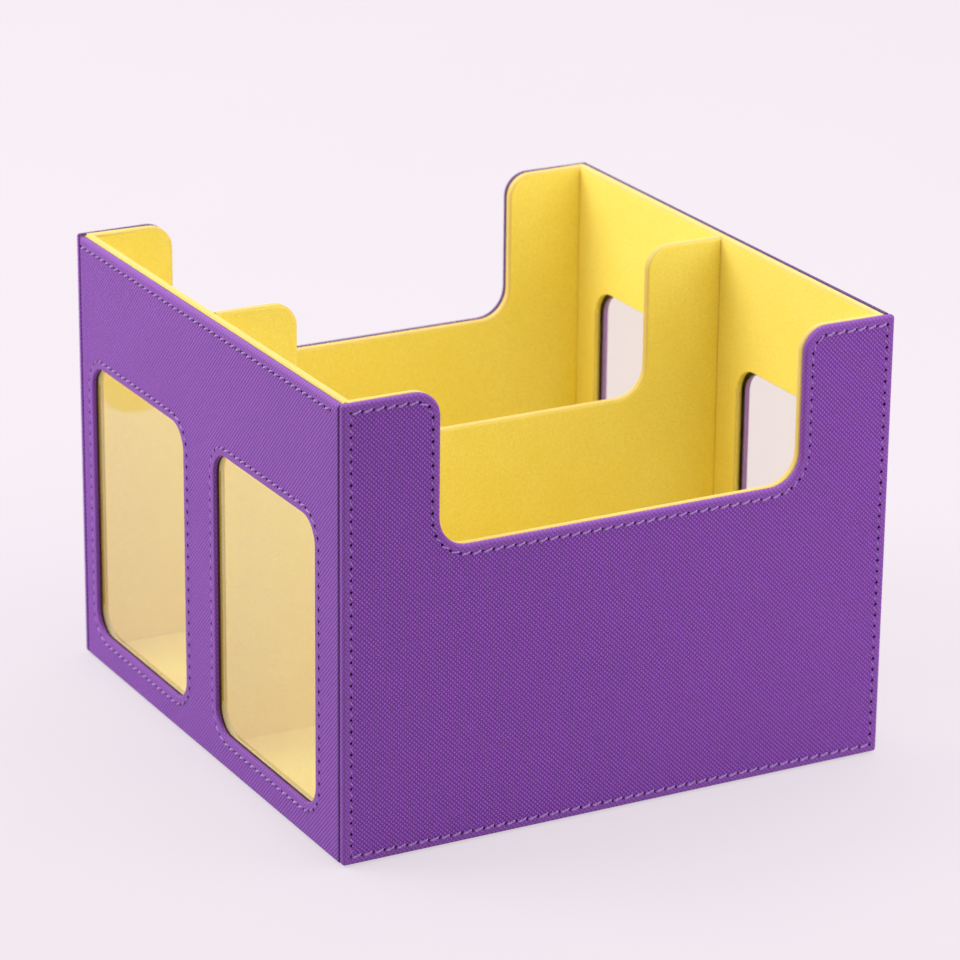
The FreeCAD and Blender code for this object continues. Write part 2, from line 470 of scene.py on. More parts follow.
def sew(name, runs, reach):
    """Needle points and threads for these runs on the face at depth -reach."""
    holes = []
    threads = []
    for line in runs:
        points = spaced(line, STITCH_PITCH)
        closed = math.dist(points[0], points[-1]) < NEAR
        holes += points[1:] if closed else points
        for a, b in zip(points, points[1:]):
            if b[0] < a[0] - NEAR or (abs(b[0] - a[0]) < NEAR and b[1] < a[1]):
                a, b = b, a
            rise = math.atan2(b[1] - a[1], b[0] - a[0])
            turn = -rise - THREAD_SLANT
            sunk = -reach + 0.5 * GROOVE_DEPTH + UPRIGHT_SINK * abs(math.sin(rise))
            threads.append(((a[0] + b[0]) / 2, sunk, (a[1] + b[1]) / 2, turn,
                            math.dist(a, b) * STITCH_SHARE))
    kept = []
    for spot in holes:
        if all(math.dist(spot, other) > HOLE_APART for other in kept):
            kept.append(spot)
    floor = -reach + GROOVE_DEPTH
    needles = copies_joined("needles", needle_model(),
                            [(x, floor, z, 0, 1) for x, z in kept])
    stitching = copies_joined(name, stitch_model(), threads)
    return needles, stitching


# ---------------------------------------------------------------- leather panels

def roll_rims(piece, facing, radius, steps, limit=None, corners=()):
    """Rounds the edges where the face looking along facing * Y meets the others,
    and the front-to-back edges at these (x, z) corners with them."""
    def rim(a, b, normals):
        if abs(a.x - b.x) < NEAR and abs(a.z - b.z) < NEAR:
            return any(abs(a.x - x) < NEAR and abs(a.z - z) < NEAR for x, z in corners)
        if len(normals) != 2 or (limit and not limit(a, b)):
            return False
        first, second = sorted(n.y * facing for n in normals)
        return abs(first) < SIDE_ON and second > NEARLY_FLAT
    with editing(piece):
        pick_edges(piece, rim)
        bpy.ops.mesh.bevel(offset=radius * MM, segments=steps, affect="EDGES")


def by_window(a, b, windows, grow=0.0):
    """Whether an edge between these ends lies on the rim of one of the windows."""
    half_x = WINDOW_WIDTH / 2 + grow + NEAR
    half_z = WINDOW_HEIGHT / 2 + grow + NEAR
    level = WINDOW_BOTTOM + WINDOW_HEIGHT / 2
    return any(abs(point.x - centre) < half_x and abs(point.z - level) < half_z
               for point in (a, b) for centre in windows)


def press_seam(piece, reach, belongs, stretched_at):
    """Pressed line beside the rolled edge, kept only where belongs(x, z) says. The strip
    between it and the edge gets the stretched finish where stretched_at(x, z) says."""
    flush = -reach
    first = SEAM_INSET - GROOVE_WIDTH / 2
    with editing(piece):
        pick_faces(piece, lambda centre, normal:
                   normal.y < -FLAT and abs(centre.y - flush) < NEAR)
        bpy.ops.mesh.inset(thickness=first * MM)
        mesh = bmesh.from_edit_mesh(piece.data)
        for face in mesh.faces:
            centre = face.calc_center_median() / MM
            if (not face.select and face.normal.y < -FLAT and abs(centre.y - flush) < NEAR
                    and stretched_at(centre.x, centre.z)):
                face.material_index = STRETCHED
        bmesh.update_edit_mesh(piece.data)
        bpy.ops.mesh.inset(thickness=GROOVE_LIP * MM)
        bpy.ops.mesh.inset(thickness=(GROOVE_WIDTH - 2 * GROOVE_LIP) * MM,
                           use_select_inset=True)
        mesh = bmesh.from_edit_mesh(piece.data)
        for face in mesh.faces:
            centre = face.calc_center_median() / MM
            if face.select and not belongs(centre.x, centre.z):
                face.select_set(False)
        bmesh.update_edit_mesh(piece.data)
        bpy.ops.transform.translate(value=(0, GROOVE_DEPTH * MM, 0))


def leather_panel(name, body, core, reach, seams, stretched_at, needles, windows=()):
    """Wrapped panel: soft corners, rolled rims, pressed sewing line, needle holes."""
    for finish in LEATHER_FINISHES_AND_PAINTED_SHADE:
        body.data.materials.append(finish)
    press_seam(body, reach, seams, stretched_at)
    points = [vertex.co / MM for vertex in body.data.vertices]
    spots = [(x, z) for x in (min(v.x for v in points), max(v.x for v in points))
             for z in (min(v.z for v in points), max(v.z for v in points))]
    end = spots[-1][0]

    def on_window(a, b):
        return by_window(a, b, windows)

    def at_end(a, b):
        return min(abs(a.x), abs(b.x)) > end - NEAR

    if windows:
        roll_rims(body, OUTSIDE, WINDOW_ROLL, 4, on_window)
    roll_rims(body, OUTSIDE, LEATHER_ROLL, 5, lambda a, b: not on_window(a, b), spots)
    if not windows:
        roll_rims(body, INSIDE, CORNER_ROLL, 4,
                  lambda a, b: at_end(a, b) and abs(a.z - b.z) > UPRIGHT_LENGTH)
    roll_rims(body, INSIDE, LEATHER_BACK_ROLL, 2,
              lambda a, b: windows or min(abs(a.x), abs(b.x)) < end - NEAR)
    carve(body, core)
    for polygon in body.data.polygons:
        centre = polygon.center / MM
        if abs(polygon.normal.y) < UNROLLED and stretched_at(centre.x, centre.z):
            polygon.material_index = STRETCHED
        # The end roll beside the corner gap gets painted shade, for the dark line there.
        if windows and centre.x > end - LEATHER_ROLL and polygon.normal.x > END_ROLL:
            polygon.material_index = PAINTED_SHADE
    carve(body, needles)
    body.name = body.data.name = name
    return body


def shade_far_rims(piece):
    """Painted shade on the top and notch rims of a far wall, seen against the light."""
    for polygon in piece.data.polygons:
        centre = polygon.center / MM
        on_top = centre.z > HEIGHT - RIM_BAND and polygon.normal.z > UPWARD
        in_notch = (abs(centre.y) < NOTCH_HALF + NOTCH_SHOULDER
                    and abs(polygon.normal.x) < UNROLLED
                    and centre.z > NOTCH_FLOOR - RIM_BAND)
        if polygon.material_index == STRETCHED and (on_top or in_notch):
            polygon.material_index = PAINTED_SHADE


def front_leather(drop):
    """Front panel with two windows and a straight seam under the top edge."""
    reach = DEPTH / 2
    half = WIDTH / 2 - PANEL - CORNER_GAP
    behind = -reach + PANEL
    body = plain_block("front", half, -reach, behind, PANEL_BOTTOM, drop)
    core = plain_block("core", half - LEATHER, -reach + LEATHER, behind + OVERREACH,
                       PANEL_BOTTOM + LEATHER, LEATHER + drop)
    for centre in WINDOW_CENTRES:
        carve(body, window_plug(centre, 0, -reach - OVERREACH, behind + OVERREACH))
        carve(core, window_plug(centre, LEATHER, -reach - OVERREACH, behind + 2 * OVERREACH))
    runs = [window_line(centre, SEAM_INSET) for centre in WINDOW_CENTRES]
    needles, stitching = sew("front_window_stitches", runs, reach)

    def round_windows(x, z):
        out_x = min(abs(x - centre) for centre in WINDOW_CENTRES) - WINDOW_WIDTH / 2
        out_z = abs(z - WINDOW_BOTTOM - WINDOW_HEIGHT / 2) - WINDOW_HEIGHT / 2
        return max(out_x, out_z) < SEAM_INSET + GROOVE_WIDTH

    def stretched_at(x, z):
        return round_windows(x, z) or z > HEIGHT - drop - SEAM_INSET

    body = leather_panel("front_panel_leather_wrap", body, core, reach, round_windows,
                         stretched_at, needles, WINDOW_CENTRES)
    for centre in WINDOW_CENTRES:
        carve(body, window_plug(centre, FILM_TUCK, behind - FRAME, behind + OVERREACH))
    line = top_line(drop)
    needles, top_stitching = sew("front_top_stitches", [line], reach)
    level = line[0][1]
    groove = block("groove", line[1][0] - GROOVE_WIDTH / 2, line[0][0] + GROOVE_WIDTH / 2,
                   -reach - OVERREACH, -reach + GROOVE_DEPTH,
                   level - GROOVE_WIDTH / 2, level + GROOVE_WIDTH / 2)
    carve(body, groove)
    carve(body, needles)
    return body, stitching, top_stitching


def side_leather():
    """Side panel with the finger notch, sewn all round."""
    reach = WIDTH / 2
    half = DEPTH / 2
    body = notched_block("side", half, -reach, -reach + PANEL, PANEL_BOTTOM, 0)
    core = notched_block("core", half - LEATHER, -reach + LEATHER, -reach + PANEL + OVERREACH,
                         PANEL_BOTTOM + LEATHER, LEATHER)
    needles, stitching = sew("side_stitches", notched_lines(SEAM_INSET), reach)
    body = leather_panel("side_panel_leather_wrap", body, core, reach,
                         lambda x, z: True, lambda x, z: True, needles)
    return body, stitching


# ---------------------------------------------------------------- felt linings

def crease(piece, end):
    """Rounds the upright edges at both ends of a lining's or divider's face, so a fine
    dark line stays where two felt pieces meet."""
    def upright_end(a, b, normals):
        return (abs(a.z - b.z) > TALL_LENGTH and min(abs(a.x), abs(b.x)) > end - NEAR
                and max(abs(a.x), abs(b.x)) < end + NEAR
                and any(abs(n.y) > FLAT for n in normals))
    with editing(piece):
        pick_edges(piece, upright_end)
        bpy.ops.mesh.bevel(offset=FELT_CREASE * MM, segments=3, affect="EDGES")


def felt_rims(piece, bottom, end, windows=()):
    """Soft roll along the open rims of a lining, not along its foot or its ends."""
    def open_rim(a, b):
        return (min(a.z, b.z) > bottom + NEAR and abs(a.x + b.x) / 2 < end - NEAR
                and not (windows and by_window(a, b, windows, LINING_SETBACK)))
    outer = max(abs(vertex.co.x / MM) for vertex in piece.data.vertices)
    with editing(piece):
        pick_edges(piece, lambda a, b, n: abs(a.z - b.z) > UPRIGHT_LENGTH
                   and min(abs(a.x), abs(b.x)) > outer - NEAR)
        bpy.ops.mesh.bevel(offset=FELT_CORNER_ROLL * MM, segments=3, affect="EDGES")
    if windows:
        for facing, radius in ((INSIDE, FELT_WINDOW_ROLL), (OUTSIDE, FELT_FILM_ROLL)):
            roll_rims(piece, facing, radius, 5,
                      lambda a, b: by_window(a, b, windows, LINING_SETBACK))
    roll_rims(piece, INSIDE, FELT_ROLL, 5, open_rim)
    roll_rims(piece, OUTSIDE, FELT_OUTER_ROLL, 4, open_rim)
    crease(piece, end)


def paint_felt_shade_and_light(piece, bottom, windows=()):
    """Gives the open rims a darker, duller copy of the felt, painted shade for the light that
    falls on them, and all the rest the full nap; the edges round the windows get a pale copy,
    painted light."""
    piece.data.materials.clear()
    for finish in FELT_FINISHES_AND_PAINTED_LIGHT:
        piece.data.materials.append(finish)
    for polygon in piece.data.polygons:
        centre = polygon.center / MM
        # Painted light at the window edges, painted shade on the other rims.
        if abs(polygon.normal.y) < FELT_RIM_LIMIT and centre.z > bottom + FOOT:
            at_window = windows and by_window(centre, centre, windows, LINING_SETBACK)
            polygon.material_index = WINDOW_LIGHT if at_window else RIM_SHADE


def front_lining():
    """Felt drawn over the inner board of the front wall and round its windows."""
    reach = DEPTH / 2 - PANEL
    half = WIDTH / 2 - PANEL
    inner = -reach + LINER
    body = plain_block("front", half, -reach, inner, LINER_BOTTOM, 0, LINER)
    core = plain_block("core", half + OVERREACH, -reach - OVERREACH, inner - FELT,
                       LINER_BOTTOM - OVERREACH, FELT)
    past_roll = LINING_SETBACK + FELT_FILM_ROLL + FELT_ROLL_MARGIN
    for centre in WINDOW_CENTRES:
        carve(body, window_plug(centre, LINING_SETBACK, -reach - OVERREACH, inner + OVERREACH))
        carve(core, window_plug(centre, past_roll,
                                -reach - 2 * OVERREACH, inner + OVERREACH))
    felt_rims(body, LINER_BOTTOM, half - LINER, WINDOW_CENTRES)
    carve(body, core)
    for centre in WINDOW_CENTRES:
        carve(body, window_plug(centre, FILM_TUCK, -reach - OVERREACH, -reach + FILM))
    return body


def side_lining():
    """Felt drawn over the inner board of a side wall and its notch."""
    reach = WIDTH / 2 - PANEL
    half = DEPTH / 2 - PANEL
    inner = -reach + LINER
    body = notched_block("side", half, -reach, inner, LINER_BOTTOM, 0, LINER)
    core = notched_block("core", half + OVERREACH, -reach - OVERREACH, inner - FELT,
                         LINER_BOTTOM - OVERREACH, FELT)
    felt_rims(body, LINER_BOTTOM, half - LINER)
    carve(body, core)
    return body


def divider_half():
    """Felt on one side of the divider, lapped half way over its edges. Its outside looks
    into the row, its inside is where the two halves meet."""
    half = DEPTH / 2 - WALL
    thick = DIVIDER / 2
    body = notched_block("divider", half, -thick, 0, FLOOR_TOP, 0)
    core = notched_block("core", half - FELT, FELT - thick, OVERREACH, FLOOR_TOP + FELT, FELT)

    def open_rim(a, b):
        return min(a.z, b.z) > FLOOR_TOP + NEAR and min(abs(a.x), abs(b.x)) < half - NEAR
    roll_rims(body, OUTSIDE, FELT_ROLL, 6, open_rim)
    roll_rims(body, INSIDE, LAP_EDGE, 1, open_rim)
    crease(body, half)
    carve(body, core)
    return body


def floor_felt():
    """Felt on the floor, its edge tucked down against the walls."""
    half_x = WIDTH / 2 - WALL
    half_y = DEPTH / 2 - WALL
    body = block("base_felt_sheet", -half_x, half_x, -half_y, half_y, LINER_BOTTOM, FLOOR_TOP)
    with editing(body):
        pick_faces(body, lambda centre, normal: normal.z > FLAT)
        bpy.ops.mesh.inset(thickness=FLOOR_RING * MM)
        bpy.ops.mesh.inset(thickness=FLOOR_RING * MM)
        pick_edges(body, lambda a, b, n: min(a.z, b.z) > FLOOR_TOP - NEAR
                   and any(abs(m.z) < SIDE_ON for m in n))
        bpy.ops.mesh.bevel(offset=FLOOR_TUCK * MM, segments=3, affect="EDGES")
    return body


def underside():
    """Cover sheet under the tray: round corners, soft edge, pressed border."""
    half_x = WIDTH / 2 - COVER_MARGIN
    half_y = DEPTH / 2 - COVER_MARGIN
    body = block("underside_cover", -half_x, half_x, -half_y, half_y, 0, PANEL_BOTTOM)
    with editing(body):
        pick_edges(body, lambda a, b, n: abs(a.z - b.z) > NEAR)
        bpy.ops.mesh.bevel(offset=COVER_CORNER * MM, segments=ARC_STEPS, affect="EDGES")
        pick_faces(body, lambda centre, normal: normal.z < -FLAT)
        for ring in (COVER_RIM, COVER_BORDER, COVER_LINE):
            bpy.ops.mesh.inset(thickness=ring * MM)
        bpy.ops.transform.translate(value=(0, 0, COVER_PRESS * MM))
        pick_edges(body, lambda a, b, n: max(a.z, b.z) < NEAR
                   and any(abs(m.z) < SIDE_ON for m in n))
        bpy.ops.mesh.bevel(offset=COVER_EDGE * MM, segments=2, affect="EDGES")
    return body


# ---------------------------------------------------------------- materials

def linear(hex_colour):
    """sRGB hex as linear RGBA."""
    values = []
    for index in (1, 3, 5):
        value = int(hex_colour[index:index + 2], 16) / 255
        values.append(value / 12.92 if value <= 0.04045 else ((value + 0.055) / 1.055) ** 2.4)
    return (*values, 1.0)


def add_node(tree, kind, settings=None, inputs=None):
    """Adds a node, sets its properties, and sets or links its inputs."""
    node = tree.nodes.new(kind)
    for name, value in (settings or {}).items():
        setattr(node, name, value)
    for socket, value in (inputs or {}).items():
        if isinstance(value, bpy.types.NodeSocket):
            tree.links.new(value, node.inputs[socket])
        else:
            node.inputs[socket].default_value = value
    return node


def new_material(name):
    """Empty node material with its output and the piece's own coordinates."""
    material = bpy.data.materials.new(name)
    material.use_nodes = True
    tree = material.node_tree
    tree.nodes.clear()
    output = add_node(tree, "ShaderNodeOutputMaterial")
    place = add_node(tree, "ShaderNodeTexCoord").outputs["Object"]
    return material, tree, output, place


def noise(tree, place, size_mm, detail=2.0):
    """Noise whose lumps are about size_mm across."""
    return add_node(tree, "ShaderNodeTexNoise", {}, {
        "Vector": place, "Scale": 1 / (size_mm * MM), "Detail": detail}).outputs["Fac"]


def blend(tree, factor, first, second):
    """Colour between two others."""
    return add_node(tree, "ShaderNodeMix", {"data_type": "RGBA"}, {
        0: factor, 6: first, 7: second}).outputs[2]


def spread(tree, value, low, high, start=0.0, end=1.0):
    """Value moved from start..end to low..high."""
    return add_node(tree, "ShaderNodeMapRange", {}, {
        "Value": value, "From Min": start, "From Max": end,
        "To Min": low, "To Max": high}).outputs[0]


def cross_grain_leatherette(name, relief_mm, low, high, groove):
    """Polyurethane leatherette rolled with a cross grain: two sets of fine grooves at
    45 degrees leave rows of tiny pillows that catch the light. Matt, faintly oily. The grooves
    are also coloured darker, towards the groove colour: painted shade in the valleys."""
    pitch = 1.065 * MM
    material, tree, output, place = new_material(name)
    wander = add_node(tree, "ShaderNodeTexNoise", {}, {
        "Vector": place, "Scale": 1 / (9 * MM), "Detail": 1.0}).outputs["Color"]
    wander = add_node(tree, "ShaderNodeVectorMath", {"operation": "MULTIPLY_ADD"}, {
        0: wander, 1: (0.18 * MM,) * 3, 2: place}).outputs[0]
    waves = []
    for rise in (1.0, -1.0):
        along = add_node(tree, "ShaderNodeVectorMath", {"operation": "DOT_PRODUCT"}, {
            0: wander, 1: (0.7071, 0.7071, 0.7071 * rise)}).outputs["Value"]
        wave = add_node(tree, "ShaderNodeMath", {"operation": "PINGPONG"}, {
            0: along, 1: pitch / 2}).outputs[0]
        waves.append(add_node(tree, "ShaderNodeMapRange", {"interpolation_type": "SMOOTHSTEP"}, {
            "Value": wave, "From Min": 0.0, "From Max": pitch * 0.36}).outputs[0])
    pillows = add_node(tree, "ShaderNodeMath", {"operation": "MULTIPLY"}, {
        0: waves[0], 1: waves[1]}).outputs[0]
    pores = noise(tree, place, 0.25, 3.0)
    height = add_node(tree, "ShaderNodeMath", {"operation": "MULTIPLY_ADD"}, {
        0: pores, 1: 0.12, 2: pillows}).outputs[0]
    bump = add_node(tree, "ShaderNodeBump", {}, {
        "Strength": 1.0, "Distance": relief_mm * MM, "Height": height}).outputs[0]
    cloud = noise(tree, place, 35.0, 3.0)
    body = blend(tree, spread(tree, cloud, 0.0, 1.0, 0.3, 0.7),
                 linear(low), linear(high))
    # Painted shade: the grooves between the pillows are coloured darker, towards the groove
    # colour.
    shaded_grooves = blend(tree, spread(tree, pillows, 1.0, 0.0), body, linear(groove))
    rough = spread(tree, pores, 0.46, 0.62, 0.3, 0.7)
    shader = add_node(tree, "ShaderNodeBsdfPrincipled", {}, {
        "Base Color": shaded_grooves, "Roughness": rough, "IOR": 1.5,
        "Specular IOR Level": 0.4, "Normal": bump}).outputs[0]
    tree.links.new(shader, output.inputs["Surface"])
    return material


def suede_felt(name, low, high, shaded):
    """Short-nap microfibre suede, brushed: dead matt, a bright fuzz along the rims
    and faint patches where the nap lies another way."""
    material, tree, output, place = new_material(name)
    nap = noise(tree, place, 0.45, 3.0)
    fibre = noise(tree, place, 0.16, 2.0)
    patches = noise(tree, place, 14.0, 3.0)
    lean = blend(tree, spread(tree, patches, 0.0, 1.0, 0.35, 0.65),
                 linear(low), linear(high))
    colour = blend(tree, spread(tree, nap, 0.0, 0.85, 0.38, 0.62), lean, linear(shaded))
    height = add_node(tree, "ShaderNodeMath", {"operation": "MULTIPLY_ADD"}, {
        0: fibre, 1: 0.5, 2: nap}).outputs[0]
    bump = add_node(tree, "ShaderNodeBump", {}, {
        "Strength": 0.6, "Distance": 0.12 * MM, "Height": height}).outputs[0]
    shader = add_node(tree, "ShaderNodeBsdfPrincipled", {}, {
        "Base Color": colour, "Roughness": spread(tree, fibre, 0.86, 1.0),
        "Specular IOR Level": 0.15, "Sheen Weight": 0.35, "Sheen Roughness": 0.5,
        "Sheen Tint": linear("#fff0b8"), "Normal": bump}).outputs[0]
    tree.links.new(shader, output.inputs["Surface"])
    return material


def polyester_thread():
    """Twisted polyester sewing thread: paler than the leatherette, a dull silky shine."""
    material, tree, output, place = new_material("twisted polyester thread")
    ply = noise(tree, place, 0.22, 2.0)
    colour = blend(tree, spread(tree, ply, 0.0, 1.0, 0.3, 0.7),
                   linear("#9c6ebc"), linear("#b98fd2"))
    bump = add_node(tree, "ShaderNodeBump", {}, {
        "Strength": 0.5, "Distance": 0.06 * MM, "Height": ply}).outputs[0]
    shader = add_node(tree, "ShaderNodeBsdfPrincipled", {}, {
        "Base Color": colour, "Roughness": spread(tree, ply, 0.38, 0.55),
        "Sheen Weight": 0.2, "Normal": bump}).outputs[0]
    tree.links.new(shader, output.inputs["Surface"])
    return material


def clear_film():
    """Polyester window film, drawn flat: clear, glossy, very slightly rippled.
    Lamp light passes straight through it instead of being stopped."""
    material, tree, output, place = new_material("clear polyester film")
    ripple = noise(tree, place, 30.0, 1.0)
    smear = noise(tree, place, 4.0, 4.0)
    bump = add_node(tree, "ShaderNodeBump", {}, {
        "Strength": 0.15, "Distance": 0.05 * MM, "Height": ripple}).outputs[0]
    shader = add_node(tree, "ShaderNodeBsdfPrincipled", {}, {
        "Base Color": linear("#fbfbfb"), "Roughness": spread(tree, smear, 0.02, 0.06),
        "IOR": 1.68, "Transmission Weight": 1.0, "Normal": bump}).outputs[0]
    passing = add_node(tree, "ShaderNodeBsdfTransparent", {}, {
        "Color": linear("#cfcfcf")}).outputs[0]
    lamp_ray = add_node(tree, "ShaderNodeLightPath").outputs["Is Shadow Ray"]
    mixed = add_node(tree, "ShaderNodeMixShader", {}, {
        0: lamp_ray, 1: shader, 2: passing}).outputs[0]
    tree.links.new(mixed, output.inputs["Surface"])
    return material


def dull_stock(name, low, high, size_mm, relief_mm, rough):
    """Card, board or backing sheet: dull, with short fibres pressed into it."""
    material, tree, output, place = new_material(name)
    fibre = noise(tree, place, size_mm, 4.0)
    colour = blend(tree, spread(tree, fibre, 0.0, 1.0, 0.3, 0.7), linear(low), linear(high))
    bump = add_node(tree, "ShaderNodeBump", {}, {
        "Strength": 0.6, "Distance": relief_mm * MM, "Height": fibre}).outputs[0]
    shader = add_node(tree, "ShaderNodeBsdfPrincipled", {}, {
        "Base Color": colour, "Roughness": spread(tree, fibre, rough, rough + 0.15),
        "Specular IOR Level": 0.3, "Normal": bump}).outputs[0]
    tree.links.new(shader, output.inputs["Surface"])
    return material


def studio_paper():
    """Seamless matt background paper, pale pink-white. Seen by the camera or mirrored in
    the film, part of it is lit evenly, so its shadows look as light as in the studio."""
    material, tree, output, place = new_material("seamless background paper")
    tooth = noise(tree, place, 120.0, 2.0)
    colour = blend(tree, spread(tree, tooth, 0.0, 1.0, 0.3, 0.7),
                   linear("#c8c1c5"), linear("#cac3c7"))
    shader = add_node(tree, "ShaderNodeBsdfPrincipled", {}, {
        "Base Color": colour, "Roughness": 0.85,
        "Specular IOR Level": 0.2}).outputs[0]
    even = add_node(tree, "ShaderNodeEmission", {}, {
        "Color": linear("#f8eff7"), "Strength": 1.0}).outputs[0]
    path = add_node(tree, "ShaderNodeLightPath").outputs
    seen = add_node(tree, "ShaderNodeMath", {"operation": "MAXIMUM"}, {
        0: path["Is Camera Ray"], 1: path["Is Glossy Ray"]}).outputs[0]
    seen = add_node(tree, "ShaderNodeMath", {"operation": "MAXIMUM"}, {
        0: seen, 1: path["Is Transmission Ray"]}).outputs[0]
    mixed = add_node(tree, "ShaderNodeMixShader", {}, {
        0: spread(tree, seen, 0.0, 0.66), 1: shader, 2: even}).outputs[0]
    tree.links.new(mixed, output.inputs["Surface"])
    return material


# The flat panels: full relief and painted shade in the grooves, so rows of light and dark dots
# or lines.
grain = cross_grain_leatherette("cross grain leatherette", 0.27,
                               "#9e54c8", "#a457ce", "#6c2f91")
# Pulled over an edge the grain flattens: smoother, more even, a soft shine along the roll.
stretched = cross_grain_leatherette("stretched cross grain leatherette", 0.12,
                                    "#9251b5", "#9754bb", "#793e9c")
# Painted shade: the same sheet, darker, for the end roll of the front and back panels in the
# corner gap and for far rims seen against the light.
shaded_leatherette = cross_grain_leatherette("cross grain leatherette with painted shade", 0.30,
                                 "#77409c", "#7d46a2", "#371550")
# Inside of a needle hole: painted shade, very dark, so each stitch ends in a dark dot.
hole_shade_stock = dull_stock("painted shade inside needle holes", "#2a1242", "#361b51",
                     0.3, 0.05, 0.8)
LEATHER_FINISHES_AND_PAINTED_SHADE = (grain, hole_shade_stock, shaded_leatherette, stretched)

# Felt with its full nap, then a darker copy on the open rims (painted shade), then a pale copy
# at the window edges (painted light).
suede = suede_felt("brushed microfibre suede", "#fbea6c", "#fdee78", "#f4dd5e")
rim_shaded_suede = suede_felt("microfibre suede with painted rim shade", "#e4ca72", "#e7ce7c", "#dec265")
window_lit_suede = suede_felt("microfibre suede with painted window light", "#fdf6c8", "#fef9d6", "#f8eeb4")
FELT_FINISHES_AND_PAINTED_LIGHT = (suede, rim_shaded_suede, window_lit_suede)

thread = polyester_thread()
film = clear_film()

# Boards and card show only as thin dull edges: grey, a dark line or a plum line. The dark line
# of the front frames is painted shade of the window recess.
greyboard = dull_stock("laminated greyboard", "#958c80", "#aba397", 1.6, 0.08, 0.8)
recess_shade_card = dull_stock("card painted with the window recess shade", "#3c1a24", "#49232c", 0.9, 0.05, 0.6)
plum_card_stock = dull_stock("plum dyed card", "#8456a0", "#8f60aa", 0.9, 0.05, 0.6)
backing = dull_stock("pressed backing sheet", "#4d2868", "#5b3178", 1.1, 0.12, 0.7)

# Studio things that only the light meets.
yellow_paper = dull_stock("yellow card", "#b89a00", "#bc9e04", 4.0, 0.1, 0.9)
flag_cloth = dull_stock("black flag cloth", "#040404", "#070707", 4.0, 0.1, 0.9)


# ---------------------------------------------------------------- building the tray

def settle(piece, nodes):
    """Gives a finished piece its body and the nodes it stands for."""
    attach(piece, "root")
    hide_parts(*nodes)


front_felt = front_lining()
paint_felt_shade_and_light(front_felt, LINER_BOTTOM, WINDOW_CENTRES)
finish_surface(front_felt)
for wall, turns, drop in (("front", 0, FRONT_DROP), ("back", 2, 0.0)):
    front_panel, window_stitching, top_stitching = front_leather(drop)
    finish_surface(front_panel)
    for stitching in (window_stitching, top_stitching):
        stitching.data.materials.append(thread)
        finish_surface(stitching, 60)
    leather = turned_copy(front_panel, wall + "_leather", turns)
    if wall == "back":
        shade_far_rims(leather)
    settle(leather, [wall + "_panel_leather"])
    settle(turned_copy(top_stitching, wall + "_top_seam", turns),
           [wall + "_top_stitching"])
    settle(turned_copy(window_stitching, wall + "_window_seams", turns),
           [wall + "_left_window_stitching", wall + "_right_window_stitching"])
    lining = turned_copy(front_felt, wall + "_lining", turns)
    # The back lining keeps plain suede at its window edges, without the painted light.
    if wall == "back":
        lining.data.materials[WINDOW_LIGHT] = suede
    settle(lining, [wall + "_liner_felt"])
    for pattern in (front_panel, top_stitching, window_stitching):
        bpy.data.objects.remove(pattern)
bpy.data.objects.remove(front_felt)

side_panel, side_stitching = side_leather()
finish_surface(side_panel)
side_stitching.data.materials.append(thread)
finish_surface(side_stitching, 60)
side_felt = side_lining()
paint_felt_shade_and_light(side_felt, LINER_BOTTOM)
finish_surface(side_felt)
for wall, turns in (("right", 1), ("left", -1)):
    leather = turned_copy(side_panel, wall + "_leather", turns)
    seam = turned_copy(side_stitching, wall + "_seam", turns)
    if wall == "right":
        for piece in (leather, seam):
            only(piece)
            piece.location.y = SIDE_SETBACK * MM
            bpy.ops.object.transform_apply(location=True, rotation=True, scale=True)
    else:
        shade_far_rims(leather)
    settle(leather, [wall + "_panel_leather"])
    settle(seam, [wall + "_panel_stitching"])
    settle(turned_copy(side_felt, wall + "_lining", turns), [wall + "_liner_felt"])
for pattern in (side_panel, side_stitching, side_felt):
    bpy.data.objects.remove(pattern)

half_felt = divider_half()
paint_felt_shade_and_light(half_felt, FLOOR_TOP)
finish_surface(half_felt)
settle(turned_copy(half_felt, "divider_right_cover", 1), ["divider_right_felt"])
settle(turned_copy(half_felt, "divider_left_cover", -1), ["divider_left_felt"])
bpy.data.objects.remove(half_felt)

for sheet, finish, slot, node in ((floor_felt(), suede, "felt", "base_felt"),
                                  (underside(), backing, "underside_sheet", "bottom_cover")):
    sheet.data.materials.clear()
    sheet.data.materials.append(finish)
    settle(sheet, [node])
    finish_surface(sheet)

for name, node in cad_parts.items():
    if node.hide_render:
        continue
    if name.endswith("_film"):
        finish = film
    elif name.endswith("_film_frame"):
        # Front frames: painted shade of the window recess; back frames: plum card.
        finish = plum_card_stock if name.startswith("back") else recess_shade_card
    else:
        finish = greyboard
    for material_slot in node.material_slots:
        material_slot.material = finish

# ---------------------------------------------------------------- studio

bpy.ops.object.select_all(action="DESELECT")
bpy.ops.mesh.primitive_plane_add(size=16.0)
paper = bpy.context.object
paper.name = "background_paper"
paper.data.materials.append(studio_paper())

